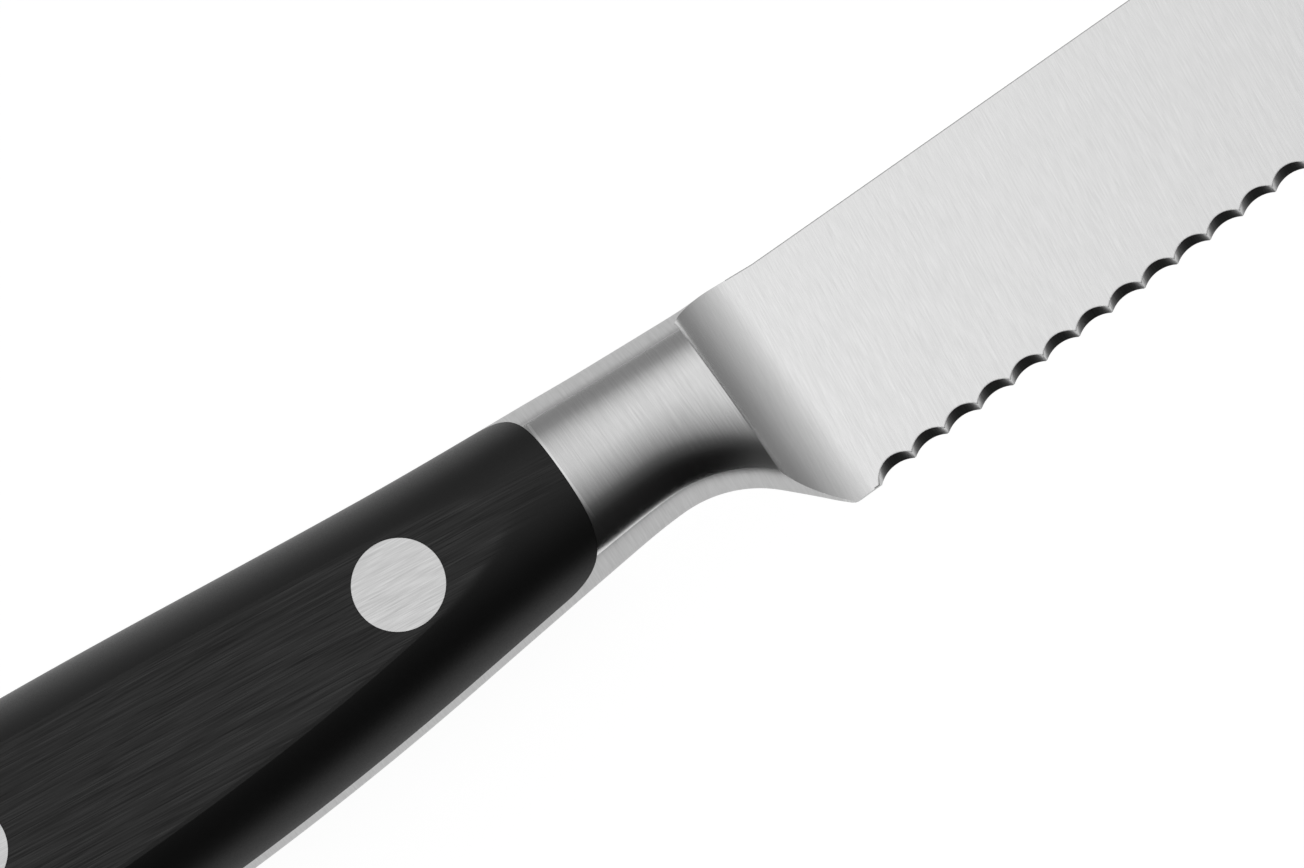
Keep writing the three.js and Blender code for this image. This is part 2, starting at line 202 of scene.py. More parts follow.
# Lines of the handle as knots (x, value, slope)
BACK = [
    (-HANDLE_LENGTH, TAIL_RISE, TAIL_RISE_SLOPE),
    (-HUMP_AT, HUMP_RISE, 0.0),
    (-GRIP_AT, GRIP_RISE, GRIP_RISE_SLOPE),
    (-FRONT_AT, FRONT_RISE, FRONT_RISE_SLOPE),
    (0.0, COLLAR_RISE, COLLAR_RISE_SLOPE),
    (NECK_X, NECK_RISE, NECK_RISE_SLOPE),
    (FIRST_SCALLOP_X, 0.0, SPINE_RISE_SLOPE),
]
BELLY = [
    (-HANDLE_LENGTH, -TAIL_DEPTH, TAIL_DEPTH_SLOPE),
    (-WAIST_AT, -WAIST_DEPTH, 0.0),
    (-BELLY_AT, -BELLY_DEPTH, 0.0),
    (-FRONT_AT, -FRONT_DEPTH, FRONT_DEPTH_SLOPE),
    (0.0, -COLLAR_DEPTH, COLLAR_DEPTH_SLOPE),
    (NECK_X, -NECK_DEPTH, 0.0),
]
WIDTH = [
    (-HANDLE_LENGTH, GRIP_WIDTH / 2, 0.0),
    (-HUMP_AT, GRIP_WIDTH / 2, GRIP_WIDTH_SLOPE),
    (-FRONT_AT, FRONT_WIDTH / 2, FRONT_WIDTH_SLOPE),
    (0.0, COLLAR_WIDTH / 2, COLLAR_WIDTH_SLOPE),
    (FIRST_SCALLOP_X, NECK_WIDTH / 2, NECK_WIDTH_SLOPE),
]
# Line along which the oval is widest, ahead of the grip
CREST = [
    (-FRONT_AT, (FRONT_RISE - FRONT_DEPTH) / 2, 0.0),
    (0.0, -CREST_DEPTH, 0.0),
    (FIRST_SCALLOP_X, -CREST_DEPTH, 0.0),
]
# Power of the oval: 2 is an ellipse, and more is squarer
POWER = [
    (0.0, OVAL_POWER, 0.0),
    (CHOIL_TURN_X, CHOIL_POWER, 0.0),
    (FIRST_SCALLOP_X, BLADE_POWER, BLADE_POWER_SLOPE),
]


def mix(a, b, t):
    """Value at t on the way from a to b."""
    return a + (b - a) * t


def steps(a, b, count):
    """Evenly spaced values from a to b."""
    return [mix(a, b, i / count) for i in range(count + 1)]


def smooth(knots, x):
    """Value at x of the smooth line through the knots."""
    after = 1
    while after < len(knots) - 1 and knots[after][0] < x:
        after += 1
    x0, v0, m0 = knots[after - 1]
    x1, v1, m1 = knots[after]
    span = x1 - x0
    t = (x - x0) / span
    ease = (3 - 2 * t) * t * t
    return mix(v0, v1, ease) + span * t * (1 - t) * (m0 * (1 - t) - m1 * t)


def underside(x):
    """Belly, choil arc, straight choil and rounded heel."""
    if x <= NECK_X:
        return smooth(BELLY, x)
    if x <= CHOIL_TURN_X:
        return math.sqrt(CHOIL_RADIUS**2 - (x - NECK_X) ** 2) - CHOIL_RADIUS - NECK_DEPTH
    heel_x = HEEL_REACH + HEEL_ROUND * math.tan(CHOIL_SLOPE / 2)
    if x <= heel_x - HEEL_ROUND * math.sin(CHOIL_SLOPE):
        return -HEEL_DEPTH + (HEEL_REACH - x) * math.tan(CHOIL_SLOPE)
    return -HEEL_DEPTH + HEEL_ROUND - math.sqrt(HEEL_ROUND**2 - max(0.0, heel_x - x) ** 2)


def signed_power(value, power):
    """A power of the size of a value, with the sign kept."""
    return math.copysign(abs(value) ** power, value)


def flat_turns(width):
    """Angles round the oval, with rows along the edges of the sides that are ground flat."""
    edge = math.asin(min(OUTSIDE / width, FLAT_LIMIT))
    quarter = OVAL_SIDES // 4
    rounding = round(quarter * ROUNDING_SHARE)
    turns = [edge * (i + 0.5) / rounding for i in range(rounding)]
    side = quarter - rounding
    turns += [mix(edge, math.pi / 2, (i + 0.5) / side) for i in range(side)]
    turns += [math.pi - turn for turn in reversed(turns)]
    return turns + [math.pi + turn for turn in turns]


def ground_flat(z):
    """Height of the oval's side after it is ground flat, with a softened edge."""
    near = max(0.0, 1 - abs(abs(z) - OUTSIDE) / FLAT_BLEND)
    return math.copysign(min(abs(z), OUTSIDE) - near * near * FLAT_BLEND / 4, z)


def crest(x):
    """Height of the line along which the oval is widest."""
    if x < -FRONT_AT:
        return (smooth(BACK, x) + underside(x)) / 2
    return smooth(CREST, x)


def oval_ring(x):
    """Oval section at x: it squares up towards the blade, and closes at the butt."""
    closing = BUTT_CLOSING * max(0.0, BUTT_ROUND - HANDLE_LENGTH - x) / BUTT_ROUND
    share = (1 - closing**BUTT_POWER) ** (1 / BUTT_POWER)
    above = share * (smooth(BACK, x) - crest(x))
    below = share * (crest(x) - underside(x))
    width = smooth(WIDTH, x)
    power = 2 / smooth(POWER, max(x, 0.0))
    ring = []
    for turn in flat_turns(width):
        up = signed_power(math.cos(turn), power)
        y = crest(x) + up * (above if up > 0 else below)
        z = width * signed_power(math.sin(turn), power)
        ring.append((x, y, ground_flat(z)))
    return ring


def loft(name, rings):
    """A closed mesh over rings that all have the same number of points."""
    mesh = bpy.data.meshes.new(name)
    made = bmesh.new()
    rows = [[made.verts.new(point) for point in ring] for ring in rings]
    for low, high in zip(rows, rows[1:]):
        for i in range(len(low)):
            made.faces.new((low[i - 1], low[i], high[i], high[i - 1]))
    made.faces.new(rows[0])
    made.faces.new(rows[-1])
    bmesh.ops.recalc_face_normals(made, faces=made.faces)
    made.to_mesh(mesh)
    made.free()
    piece = bpy.data.objects.new(name, mesh)
    bpy.context.scene.collection.objects.link(piece)
    return piece


def prism(name, outline, low, high):
    """An outline in x and y, drawn out along z."""
    return loft(name, [[(x, y, z) for x, y in outline] for z in (low, high)])


def bake(piece):
    """Puts the result of the modifiers into the piece's mesh."""
    graph = bpy.context.evaluated_depsgraph_get()
    mesh = bpy.data.meshes.new_from_object(piece.evaluated_get(graph))
    piece.modifiers.clear()
    piece.data = mesh


def carve(piece, operation, tool, keep_tool=False):
    """Joins, cuts or trims a piece with another closed one."""
    change = piece.modifiers.new("carve", "BOOLEAN")
    change.operation = operation
    change.solver = "MANIFOLD"
    change.object = tool
    bake(piece)
    if not keep_tool:
        bpy.data.objects.remove(tool)


def handle_blank(name):
    """Handle and bolster, with its sides ground flat."""
    stations = [BUTT_ROUND * t * t - HANDLE_LENGTH for t in steps(0, 1, BUTT_STATIONS)]
    stations += steps(BUTT_ROUND - HANDLE_LENGTH, -SHOULDER_SETBACK - HIGHLIGHT_RIM_WIDTH, HANDLE_STATIONS)[1:]
    stations += steps(HIGHLIGHT_RIM_WIDTH - SHOULDER_SETBACK, HEEL_REACH, BOLSTER_STATIONS)
    stations += steps(HEEL_REACH, FIRST_SCALLOP_X, HEEL_STATIONS)[1:]
    return loft(name, [oval_ring(x) for x in stations])


def tooth_line(x):
    """Height of the tooth points at x, on the straight part of the edge."""
    return -HEEL_DEPTH + TOOTH_STEP + (x - FIRST_TOOTH_X) * math.tan(EDGE_RISE)


EDGE_TURN = Vector((TIP_X - TIP_CURVE, tooth_line(TIP_X - TIP_CURVE)))
EDGE_BULGE = Vector((TIP_X - TIP_CURVE + TIP_BULGE, tooth_line(TIP_X - TIP_CURVE + TIP_BULGE)))
TIP = Vector((TIP_X, -TIP_DROP))


def bend(a, b, c, t):
    """Point at t of the curve that leaves a towards b and comes from b into c."""
    return a * (1 - t) ** 2 + b * (2 * t * (1 - t)) + c * t * t


def blade_plate():
    """Outline of the blade ahead of the heel, as thick plate."""
    start = (FIRST_TOOTH_X + FIRST_SCALLOP_X) / 2
    drop = Vector((HEEL_REACH + SPINE_STRAIGHT, 0))
    bulge = Vector((HEEL_REACH + SPINE_STRAIGHT + SPINE_BULGE, 0))
    outline = [Vector((start, tooth_line(start)))]
    outline += [bend(EDGE_TURN, EDGE_BULGE, TIP, t) for t in steps(0, 1, TIP_STEPS)]
    outline += [bend(TIP, bulge, drop, t) for t in steps(0, 1, TIP_STEPS)[1:]]
    outline.append(Vector((start, 0)))
    half = (SPINE_THICKNESS + MARGIN) / 2
    return prism("plate", outline, -half, half)


def blade_half(x, y):
    """Half thickness of the ground blade."""
    slope = (SPINE_THICKNESS - EDGE_THICKNESS) / HEEL_DEPTH
    thinning = TIP_THINNING * (x - GRIND_REACH) / (TIP_X - GRIND_REACH)
    return (SPINE_THICKNESS + slope * y - thinning) / 2


def shoulder_arc(shift):
    """Fillet from the tang up to the bolster's shoulder, in x and z."""
    half = TANG_THICKNESS / 2
    turns = steps(0, math.pi / 2, ARC_STEPS)
    return [
        (SHOULDER_FILLET * (math.sin(a) - 1) - shift, half + SHOULDER_FILLET * (1 - math.cos(a)))
        for a in turns
    ]


def plunge(x):
    """Rise of the plunge over the ground face at x."""
    run = min(max(0.0, GRIND_REACH - x) / PLUNGE_REACH, 1.0)
    return PLUNGE_RISE * (1 - math.sqrt(1 - run * run))


def forging_half(side):
    """Everything on the inner side of one side of the forging."""
    rings = []
    for y in CUT_ENDS:
        line = [(REAR_X, -HANDLE_THICKNESS), (REAR_X, TANG_THICKNESS / 2)]
        line += shoulder_arc(SHOULDER_SETBACK)
        line.append((-SHOULDER_SETBACK, HANDLE_THICKNESS))
        line.append((CREASE_X, HANDLE_THICKNESS))
        for turn in steps(PLUNGE_TURN, 0, 2 * ARC_STEPS):
            x = GRIND_REACH - PLUNGE_REACH * math.sin(turn)
            line.append((x, blade_half(x, y) + PLUNGE_RISE * (1 - math.cos(turn))))
        line.append((AHEAD_X, blade_half(AHEAD_X, y)))
        line.append((AHEAD_X, -HANDLE_THICKNESS))
        rings.append([(x, y, side * z) for x, z in line])
    return loft("ground", rings)


def scallop_radius(depth):
    """Radius of a scallop of that depth, between two tooth points."""
    chord = TOOTH_PITCH - TOOTH_FLAT
    return (chord * chord / 4 + depth * depth) / (2 * depth)


def scallop_rings(point, direction):
    """Two circles of the skewed cone that grinds one scallop."""
    along = direction.normalized()
    up = Vector((-along.y, along.x))
    rings = []
    for across in (-SCALLOP_OVERRUN, 1 + SCALLOP_OVERRUN):
        radius = mix(scallop_radius(SCALLOP_DEPTH_LEFT), scallop_radius(SCALLOP_DEPTH_RIGHT), across)
        top = mix(SCALLOP_DEPTH_LEFT, SCALLOP_BEVEL + SCALLOP_DEPTH_RIGHT, across)
        z = EDGE_THICKNESS * (across - 0.5)
        ring = []
        for i in range(SCALLOP_SIDES):
            turn = 2 * math.pi * i / SCALLOP_SIDES
            rise = top - radius + radius * math.sin(turn)
            spot = point + along * (radius * math.cos(turn)) + up * rise
            ring.append((spot.x, spot.y, z))
        rings.append(ring)
    return rings


def edge_points():
    """Centres of the scallops along the edge, a pitch apart, with the direction of the edge."""
    start = Vector((FIRST_SCALLOP_X, tooth_line(FIRST_SCALLOP_X)))
    path = [start] + [bend(EDGE_TURN, EDGE_BULGE, TIP, t) for t in steps(0, 1, EDGE_PATH_STEPS)]
    lengths = [(b - a).length for a, b in zip(path, path[1:])]
    end = sum(lengths) - PLAIN_TIP
    points = []
    at = passed = 0.0
    for a, b, length in zip(path, path[1:], lengths):
        while at < min(passed + length, end):
            points.append((a.lerp(b, (at - passed) / length), b - a))
            at += TOOTH_PITCH
        passed += length
    return points


def turned(name, profile, x, y):
    """A turned piece on a rivet's axis, from (radius, z) points, closed across both ends."""
    rings = []
    for radius, z in profile:
        turns = [2 * math.pi * i / RIVET_SIDES for i in range(RIVET_SIDES)]
        rings.append([(x + radius * math.cos(a), y + radius * math.sin(a), z) for a in turns])
    return loft(name, rings)


def rivet_places():
    """Where the three rivets go through the handle, by name."""
    front = -FRONT_RIVET_AT
    rear = REAR_RIVET_INSET - HANDLE_LENGTH
    lifts = {"front": 0.0, "middle": MIDDLE_RIVET_LIFT, "rear": 0.0}
    places = {}
    for name, x in (("front", front), ("middle", (front + rear) / 2), ("rear", rear)):
        places[name] = (x, (smooth(BACK, x) + underside(x)) / 2 + lifts[name])
    return places


def brush_map(piece, lengthwise):
    """A map whose first axis runs across the brushing lines, for the stretched gloss of the steel."""
    layer = piece.data.uv_layers.new(name="brush")
    for face in piece.data.polygons:
        middle = math.atan2(face.center.z, face.center.y + BRUSH_AXIS_DEPTH)
        for corner in face.loop_indices:
            place = piece.data.vertices[piece.data.loops[corner].vertex_index].co
            turn = math.atan2(place.z, place.y + BRUSH_AXIS_DEPTH)
            turn += 2 * math.pi * round((middle - turn) / (2 * math.pi))
            layer.uv[corner].vector = (place.y, place.x) if lengthwise else (place.x, OUTSIDE * turn)


def finish_piece(piece, nodes, materials, lengthwise=False):
    """Sets a drawn piece into the frame, in place of its plain nodes there."""
    brush_map(piece, lengthwise)
    piece.data.transform(PLACE @ Matrix.Scale(MM, 4))
    piece.data.materials.clear()
    for material in materials:
        piece.data.materials.append(material)
    piece.data.shade_smooth()
    piece.data.set_sharp_from_angle(angle=SHARP_ANGLE)
    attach(piece, "root")
    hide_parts(*nodes)


def node(tree, kind, inputs=None, **settings):
    """A shader node with its settings, and its inputs set or linked."""
    made = tree.nodes.new(kind)
    for key, value in settings.items():
        setattr(made, key, value)
    for key, value in (inputs or {}).items():
        if isinstance(value, bpy.types.NodeSocket):
            tree.links.new(value, made.inputs[key])
        else:
            made.inputs[key].default_value = value
    return made


def new_material(name):
    """An empty material and its node tree."""
    material = bpy.data.materials.new(name)
    material.use_nodes = True
    tree = material.node_tree
    tree.nodes.clear()
    return material, tree


def finish_material(tree, shader):
    """Shows a shader on the surface."""
    node(tree, "ShaderNodeOutputMaterial", {"Surface": shader.outputs["BSDF"]})


# Brushing lines: width, directions from the knife's axis, their noise with its usual span, and height
BRUSH_LINE = 0.1
BLADE_LINES = math.radians(97)
BOLSTER_LINES = math.radians(90)
HANDLE_LINES = math.atan(0.12)
NOISE_DETAIL = 2.0
NOISE_ROUGHNESS = 0.6
NOISE_LOW = 0.25
NOISE_HIGH = 0.75
LINE_HEIGHT = 0.02


def streaks(tree, turn, width, length):
    """Noise drawn out into brushing lines: their width and length in millimetres."""
    place = node(tree, "ShaderNodeTexCoord")
    turned_place = node(
        tree,
        "ShaderNodeMapping",
        {"Vector": place.outputs["Object"], "Rotation": (0, 0, turn)},
    )
    scaled = node(
        tree,
        "ShaderNodeMapping",
        {
            "Vector": turned_place.outputs["Vector"],
            "Scale": (1 / (length * MM), 1 / (width * MM), 1 / (length * MM)),
        },
    )
    inputs = {
        "Vector": scaled.outputs["Vector"],
        "Scale": 1.0,
        "Detail": NOISE_DETAIL,
        "Roughness": NOISE_ROUGHNESS,
    }
    return node(tree, "ShaderNodeTexNoise", inputs).outputs["Fac"]


def ranged(tree, value, low, high):
    """The usual span of a noise brought to low to high."""
    inputs = {
        "Value": value,
        "From Min": NOISE_LOW,
        "From Max": NOISE_HIGH,
        "To Min": low,
        "To Max": high,
    }
    return node(tree, "ShaderNodeMapRange", inputs).outputs["Result"]


def maths(tree, operation, *values):
    """Result of one step of arithmetic."""
    return node(tree, "ShaderNodeMath", dict(enumerate(values)), operation=operation).outputs[0]


def blended(tree, share, a, b):
    """Value at a share of the way from a to b."""
    return node(tree, "ShaderNodeMix", {"Factor": share, "A": a, "B": b}).outputs["Result"]


def grey(tree, value):
    """A grey of that value."""
    inputs = {"Red": value, "Green": value, "Blue": value}
    return node(tree, "ShaderNodeCombineColor", inputs).outputs["Color"]


def ramp(tree, value, stops):
    """Grey values at places from 0 to 1."""
    made = node(tree, "ShaderNodeValToRGB", {"Fac": value})
    elements = made.color_ramp.elements
    while len(elements) < len(stops):
        elements.new(0.5)
    for element, (place, tone) in zip(elements, stops):
        element.position = place
        element.color = (tone, tone, tone, 1)
    return made.outputs["Color"]


# Steel: broad lines against fine ones, depth of the lines, spread of the roughness, and edge tint
STEEL_BROAD_WIDTH = 4
STEEL_BROAD_LENGTH = 2
STEEL_BROAD_SHARE = 0.2
STEEL_BUMP = 0.1
STEEL_ROUGH_SPREAD = 0.12
STEEL_EDGE_TINT = (0.8, 0.8, 0.8, 1)
BEVEL_SAMPLES = 8


def brushed_steel(name, turn, tone, contrast, rough, stretch, length, bevel=0.0):
    """Steel of one tone with fine brushing lines."""
    material, tree = new_material(name)
    fine = streaks(tree, turn, BRUSH_LINE, length)
    broad = streaks(tree, turn, STEEL_BROAD_WIDTH * BRUSH_LINE, STEEL_BROAD_LENGTH * length)
    both = blended(tree, STEEL_BROAD_SHARE, fine, broad)
    shade = ranged(tree, both, tone - contrast, tone + contrast)
    dull = rough * (1 + STEEL_ROUGH_SPREAD)
    bright = rough * (1 - STEEL_ROUGH_SPREAD)
    bump = {"Strength": STEEL_BUMP, "Distance": LINE_HEIGHT * MM, "Height": fine}
    height = node(tree, "ShaderNodeBump", bump)
    if bevel:
        rounded = node(tree, "ShaderNodeBevel", {"Radius": bevel * MM}, samples=BEVEL_SAMPLES)
        tree.links.new(rounded.outputs["Normal"], height.inputs["Normal"])
    direction = node(tree, "ShaderNodeTangent", direction_type="UV_MAP", uv_map="brush")
    shader = node(
        tree,
        "ShaderNodeBsdfPrincipled",
        {
            "Base Color": grey(tree, shade),
            "Metallic": 1.0,
            "Roughness": ranged(tree, both, dull, bright),
            "Anisotropic": stretch,
            "Tangent": direction.outputs["Tangent"],
            "Specular Tint": STEEL_EDGE_TINT,
            "Normal": height.outputs["Normal"],
        },
    )
    finish_material(tree, shader)
    return material


# Plastic: its brushing lines on the flat sides, the faint grain on the roundings, and its gloss
PLASTIC_LINE = 0.07
PLASTIC_LENGTH = 5.0
PLASTIC_BROAD_LINE = 0.4
PLASTIC_BROAD_LENGTH = 12.0
PLASTIC_BROAD_SHARE = 0.25
PLASTIC_GRAIN_SHARE = 0.3
PLASTIC_BUMP = 0.12
PLASTIC_DARK = 0.0
PLASTIC_PALE = 0.014
PLASTIC_DULL = 0.72
PLASTIC_BRIGHT = 0.14
PLASTIC_SPECULAR = 0.45
ROUNDING_FACING = 0.96
FLAT_FACING = 0.995


def flat_side(tree):
    """1 on the flat sides of the handle, and 0 on its roundings."""
    place = node(tree, "ShaderNodeTexCoord")
    parts = node(tree, "ShaderNodeSeparateXYZ", {"Vector": place.outputs["Normal"]})
    facing = maths(tree, "ABSOLUTE", parts.outputs["Z"])
    inputs = {"Value": facing, "From Min": ROUNDING_FACING, "From Max": FLAT_FACING}
    return node(tree, "ShaderNodeMapRange", inputs).outputs["Result"]


def black_plastic(name):
    """Satin black plastic, finely brushed along the handle on its flat sides."""
    material, tree = new_material(name)
    fine = streaks(tree, HANDLE_LINES, PLASTIC_LINE, PLASTIC_LENGTH)
    broad = streaks(tree, HANDLE_LINES, PLASTIC_BROAD_LINE, PLASTIC_BROAD_LENGTH)
    lines = blended(tree, PLASTIC_BROAD_SHARE, fine, broad)
    grain = streaks(tree, HANDLE_LINES, BRUSH_LINE, BRUSH_LINE)
    faint = blended(tree, PLASTIC_GRAIN_SHARE, (NOISE_LOW + NOISE_HIGH) / 2, grain)
    both = blended(tree, flat_side(tree), faint, lines)
    bump = {"Strength": PLASTIC_BUMP, "Distance": LINE_HEIGHT * MM, "Height": both}
    height = node(tree, "ShaderNodeBump", bump)
    shader = node(
        tree,
        "ShaderNodeBsdfPrincipled",
        {
            "Base Color": grey(tree, ranged(tree, both, PLASTIC_DARK, PLASTIC_PALE)),
            "Roughness": ranged(tree, both, PLASTIC_DULL, PLASTIC_BRIGHT),
            "Specular IOR Level": PLASTIC_SPECULAR,
            "Normal": height.outputs["Normal"],
        },
    )
    finish_material(tree, shader)
    return material


def pale_floor(name, tone, lift):
    """A pale floor that the camera, and what mirrors it, sees as white with the knife's shadow."""
    material, tree = new_material(name)
    path = node(tree, "ShaderNodeLightPath")
    seen = path.outputs["Is Camera Ray"]
    for other in ("Is Glossy Ray", "Is Transmission Ray"):
        seen = maths(tree, "MAXIMUM", seen, path.outputs[other])
    strength = maths(tree, "MULTIPLY", seen, lift)
    matte = node(tree, "ShaderNodeBsdfDiffuse", {"Color": (tone, tone, tone, 1)})
    glow = node(tree, "ShaderNodeEmission", {"Strength": strength})
    both = node(tree, "ShaderNodeAddShader", {0: matte.outputs[0], 1: glow.outputs[0]})
    node(tree, "ShaderNodeOutputMaterial", {"Surface": both.outputs[0]})
    return material


# Surroundings across the knife: degrees from overhead towards the spine side, and brightness
STUDIO = [
    (-90, 0.003),
    (-56, 0.005),
    (-48, 0.014),
    (-40, 0.06),
    (-34, 0.115),
    (-27, 0.29),
    (-4, 0.8),
    (5, 0.97),
    (20, 1.0),
    (35, 0.89),
    (43, 0.75),
    (61, 0.36),
    (70, 0.31),
    (90, 0.3),
]
# How it falls off along the knife: sine of the angle from overhead, and share
ALONG = [
    (0.0, 1.25),
    (0.06, 1.15),
    (0.14, 0.9),
    (0.25, 0.72),
    (0.375, 0.58),
    (0.5, 0.41),
    (0.63, 0.25),
    (0.78, 0.06),
    (0.93, 0.01),
    (1.0, 0.0),
]
# Brightness of the walls beyond the tip and the butt, and where along the knife's axis they rise
TIP_SIDE = 0.22
BUTT_SIDE = 0.1
WALL_START = 0.3
WALL_FULL = 0.85


def studio_world():
    """A long soft light overhead, grey walls to the spine and tip sides, and dark on the edge side."""
    world = bpy.data.worlds.new("studio")
    world.use_nodes = True
    tree = world.node_tree
    tree.nodes.clear()
    place = node(tree, "ShaderNodeTexCoord")
    parts = node(tree, "ShaderNodeSeparateXYZ", {"Vector": place.outputs["Generated"]})
    angle = maths(tree, "ARCTAN2", parts.outputs["Y"], parts.outputs["Z"])
    quarter = math.pi / 2
    share = node(
        tree,
        "ShaderNodeMapRange",
        {"Value": angle, "From Min": -quarter, "From Max": quarter},
    )
    stops = [((degrees + 90) / 180, value) for degrees, value in STUDIO]
    across = ramp(tree, share.outputs["Result"], stops)
    along = ramp(tree, maths(tree, "ABSOLUTE", parts.outputs["X"]), ALONG)
    total = maths(tree, "MULTIPLY", across, along)
    for sign, value in ((1, TIP_SIDE), (-1, BUTT_SIDE)):
        wall = node(
            tree,
            "ShaderNodeMapRange",
            {
                "Value": parts.outputs["X"],
                "From Min": sign * WALL_START,
                "From Max": sign * WALL_FULL,
                "To Max": value,
            },
            interpolation_type="SMOOTHSTEP",
        )
        total = maths(tree, "ADD", total, wall.outputs["Result"])
    light = node(tree, "ShaderNodeBackground", {"Color": grey(tree, total), "Strength": 1.0})
    node(tree, "ShaderNodeOutputWorld", {"Surface": light.outputs["Background"]})
    bpy.context.scene.world = world


# Camera: the photograph is 1304 by 868 pixels, at 13.6 pixels to the millimetre of the knife
IMAGE_WIDTH = 1304
PIXELS_PER_MM = 13.6
CAMERA_DISTANCE = 600.0
CAMERA_SENSOR = 36.0
CAMERA_TARGET = Vector((7.0, -5.9, 0.0))
CAMERA_SIDE = Vector((-0.05, -0.228, 0.972))
SPINE_ANGLE = math.radians(35.07)


def photo_camera():
    """The camera of the close-up: nearly above, a little from the edge and butt sides, and rolled."""
    back = CAMERA_SIDE.normalized()
    along = Vector((1, 0, 0))
    along = (along - back * along.dot(back)).normalized()
    above = back.cross(along)
    right = along * math.cos(SPINE_ANGLE) - above * math.sin(SPINE_ANGLE)
    up = along * math.sin(SPINE_ANGLE) + above * math.cos(SPINE_ANGLE)
    lens = bpy.data.cameras.new("photo_camera")
    lens.sensor_width = CAMERA_SENSOR
    lens.lens = CAMERA_SENSOR * CAMERA_DISTANCE * PIXELS_PER_MM / IMAGE_WIDTH
    camera = bpy.data.objects.new("photo_camera", lens)
    place = PLACE @ (MM * (CAMERA_TARGET + back * CAMERA_DISTANCE))
    turn = Matrix((right, up, back)).transposed()
    camera.matrix_world = Matrix.Translation(place) @ turn.to_4x4()
    bpy.context.scene.collection.objects.link(camera)
    bpy.context.scene.camera = camera


# Floor: half its width in metres, its own tone, and how far it is lifted to white
FLOOR_HALF = 30.0
FLOOR_TONE = 0.12
FLOOR_LIFT = 0.965


def studio_floor():
    """A plain floor under the knife."""
    corners = [(-1, -1), (1, -1), (1, 1), (-1, 1)]
    mesh = bpy.data.meshes.new("floor")
    mesh.from_pydata([(FLOOR_HALF * x, FLOOR_HALF * y, 0) for x, y in corners], [], [(0, 1, 2, 3)])
    mesh.materials.append(pale_floor("pale_floor", FLOOR_TONE, FLOOR_LIFT))
    floor = bpy.data.objects.new("floor", mesh)
    bpy.context.scene.collection.objects.link(floor)


# Finishes of the forging, in the order of its materials; the rim's brighter steel is partly a painted
# highlight, and the darker steel of the back and belly partly painted shade
GROUND_FACE, FORGED_FACE, EDGE_FACE, HIGHLIGHT_RIM_FACE, PLUNGE_FACE, DULL_SHADED_FACE = range(6)


def on_ground(place):
    """Whether a point lies on the ground faces or the plunge."""
    off = abs(place.z) - blade_half(place.x, place.y) - plunge(place.x)
    return place.x > CREASE_X and abs(off) < GROUND_TOLERANCE


def oval_turn(place):
    """Angle of a point round the oval, from the middle of its back or of its belly."""
    x = min(place.x, FIRST_SCALLOP_X)
    share = min(abs(place.z) / smooth(WIDTH, x), 1.0)
    return math.asin(share ** (smooth(POWER, max(x, 0.0)) / 2))


def steel_kind(place):
    """Finish of the forging at a point, with a painted highlight on the rim strip and painted shade on the
    back and belly.
    """
    if on_ground(place):
        return GROUND_FACE if place.x > GRIND_REACH else PLUNGE_FACE
    if place.x > EDGE_START_X and place.y < -HEEL_DEPTH / 2:
        return EDGE_FACE
    # The rim strip on the sides of the bolster gets brighter steel, partly a polished rim and partly a
    # painted highlight of its rounded edge.
    if abs(place.x + SHOULDER_SETBACK) < HIGHLIGHT_RIM_WIDTH and abs(place.z) > HIGHLIGHT_RIM_SIDE:
        return HIGHLIGHT_RIM_FACE
    # The back and belly of the oval get darker, duller steel: partly a rougher finish, partly painted shade
    # of the dim floor they mirror.
    limit = SHADED_BACK_TURN if place.y > -CREST_DEPTH else SHADED_BELLY_TURN
    return DULL_SHADED_FACE if oval_turn(place) < limit else FORGED_FACE


def forged_blade(holes, materials):
    """Blade, bolster and tang in one, with the scallops ground and the rivet holes drilled."""
    piece = handle_blank("forged_blade")
    carve(piece, "UNION", blade_plate())
    carve(piece, "INTERSECT", forging_half(1))
    carve(piece, "INTERSECT", forging_half(-1))
    for point, direction in edge_points():
        carve(piece, "DIFFERENCE", loft("scallop", scallop_rings(point, direction)))
    for hole in holes:
        carve(piece, "DIFFERENCE", hole, keep_tool=True)
    kinds = [steel_kind(face.center) for face in piece.data.polygons]
    finish_piece(piece, ["forged_blade"], materials)
    piece.data.polygons.foreach_set("material_index", kinds)


def scale(name, side, holes, material):
    """One handle scale, cut from the handle's body and drilled."""
    piece = handle_blank(name)
    setback = SHOULDER_SETBACK + JOINT_GAP
    line = [(REAR_X, HANDLE_THICKNESS), (REAR_X, TANG_THICKNESS / 2)]
    line += shoulder_arc(setback)
    line.append((-setback, HANDLE_THICKNESS))
    space = loft("space", [[(x, y, side * z) for x, z in line] for y in CUT_ENDS])
    carve(piece, "INTERSECT", space)
    for hole in holes:
        carve(piece, "DIFFERENCE", hole, keep_tool=True)
    finish_piece(piece, [name], [material])


def flush_rivet(name, profile, x, y, material):
    """A turned half of a rivet, its head ground flush with the scale."""
    piece = turned(name, profile, x, y)
    carve(piece, "INTERSECT", handle_blank("flush"))
    finish_piece(piece, [name], [material], lengthwise=True)


def rivet_male(name, x, y, material):
    """Right half of a rivet: head and pin."""
    head = RIVET_HEAD / 2
    pin = RIVET_PIN / 2
    profile = [(pin, RIVET_PIN_GAP - SEAT), (pin, SEAT), (head, SEAT), (head, OUTSIDE + MARGIN)]
    flush_rivet(name, profile, x, y, material)


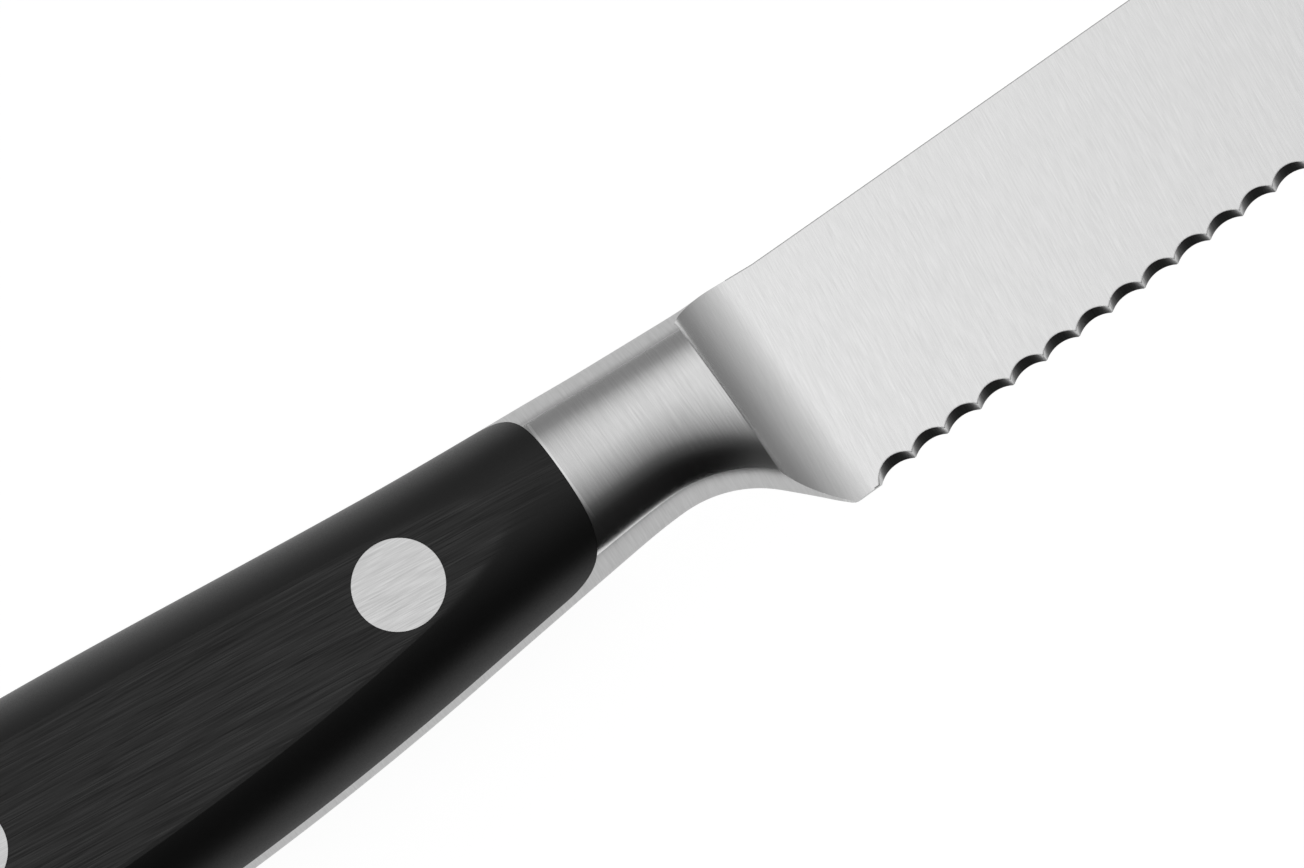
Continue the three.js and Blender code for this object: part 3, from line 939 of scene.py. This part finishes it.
def rivet_female(name, x, y, material):
    """Left half of a rivet: head and tube."""
    head = RIVET_HEAD / 2
    tube = RIVET_TUBE / 2
    bore = RIVET_PIN / 2 + RIVET_FIT
    tip = SEAT - RIVET_TUBE_GAP
    outer = [(head, -OUTSIDE - MARGIN), (head, -SEAT), (tube, -SEAT), (tube, tip)]
    flush_rivet(name, outer + [(bore, tip), (bore, -SEAT)], x, y, material)


def rivet_hole(x, y):
    """Hole through tang and scales, counterbored from both sides for the heads."""
    head = RIVET_HEAD / 2 + RIVET_FIT
    tube = RIVET_TUBE / 2 + RIVET_FIT
    end = OUTSIDE + MARGIN
    profile = [(head, -end), (head, -SEAT), (tube, -SEAT), (tube, SEAT), (head, SEAT), (head, end)]
    return turned("hole", profile, x, y)


bpy.context.scene.view_settings.view_transform = "Standard"
photo_camera()
studio_world()
studio_floor()

forging_looks = [
    brushed_steel(
        "blade_steel", BLADE_LINES, tone=0.81, contrast=0.036, rough=0.22, stretch=0.7, length=1.8, bevel=0.2
    ),
    brushed_steel(
        "bolster_steel", BOLSTER_LINES, tone=0.75, contrast=0.06, rough=0.22, stretch=0.8, length=2.5
    ),
    brushed_steel(
        "scallop_steel", BOLSTER_LINES, tone=0.55, contrast=0.16, rough=0.3, stretch=0.3, length=1.0
    ),
    # Brighter steel along the bolster's rim: partly polish, partly a painted highlight.
    brushed_steel(
        "polished_highlight_rim_steel", BOLSTER_LINES, tone=0.95, contrast=0.05, rough=0.2, stretch=0.5, length=4.0
    ),
    brushed_steel(
        "plunge_steel", BLADE_LINES, tone=0.81, contrast=0.036, rough=0.22, stretch=0.7, length=1.8
    ),
    # Darker steel on the back and belly: partly a duller finish, partly painted shade.
    brushed_steel(
        "dull_shaded_back_steel", BOLSTER_LINES, tone=0.5, contrast=0.04, rough=0.34, stretch=0.4, length=2.5
    ),
]
rivet_look = brushed_steel(
    "rivet_steel", HANDLE_LINES, tone=0.62, contrast=0.09, rough=0.3, stretch=0.6, length=2.5, bevel=0.05
)
plastic_look = black_plastic("scale_plastic")

places = rivet_places()
holes = [rivet_hole(x, y) for x, y in places.values()]
forged_blade(holes, forging_looks)
scale("scale_right", 1, holes, plastic_look)
scale("scale_left", -1, holes, plastic_look)
for spare in holes:
    bpy.data.objects.remove(spare)
for name, (x, y) in places.items():
    rivet_male(f"rivet_{name}_male", x, y, rivet_look)
    rivet_female(f"rivet_{name}_female", x, y, rivet_look)
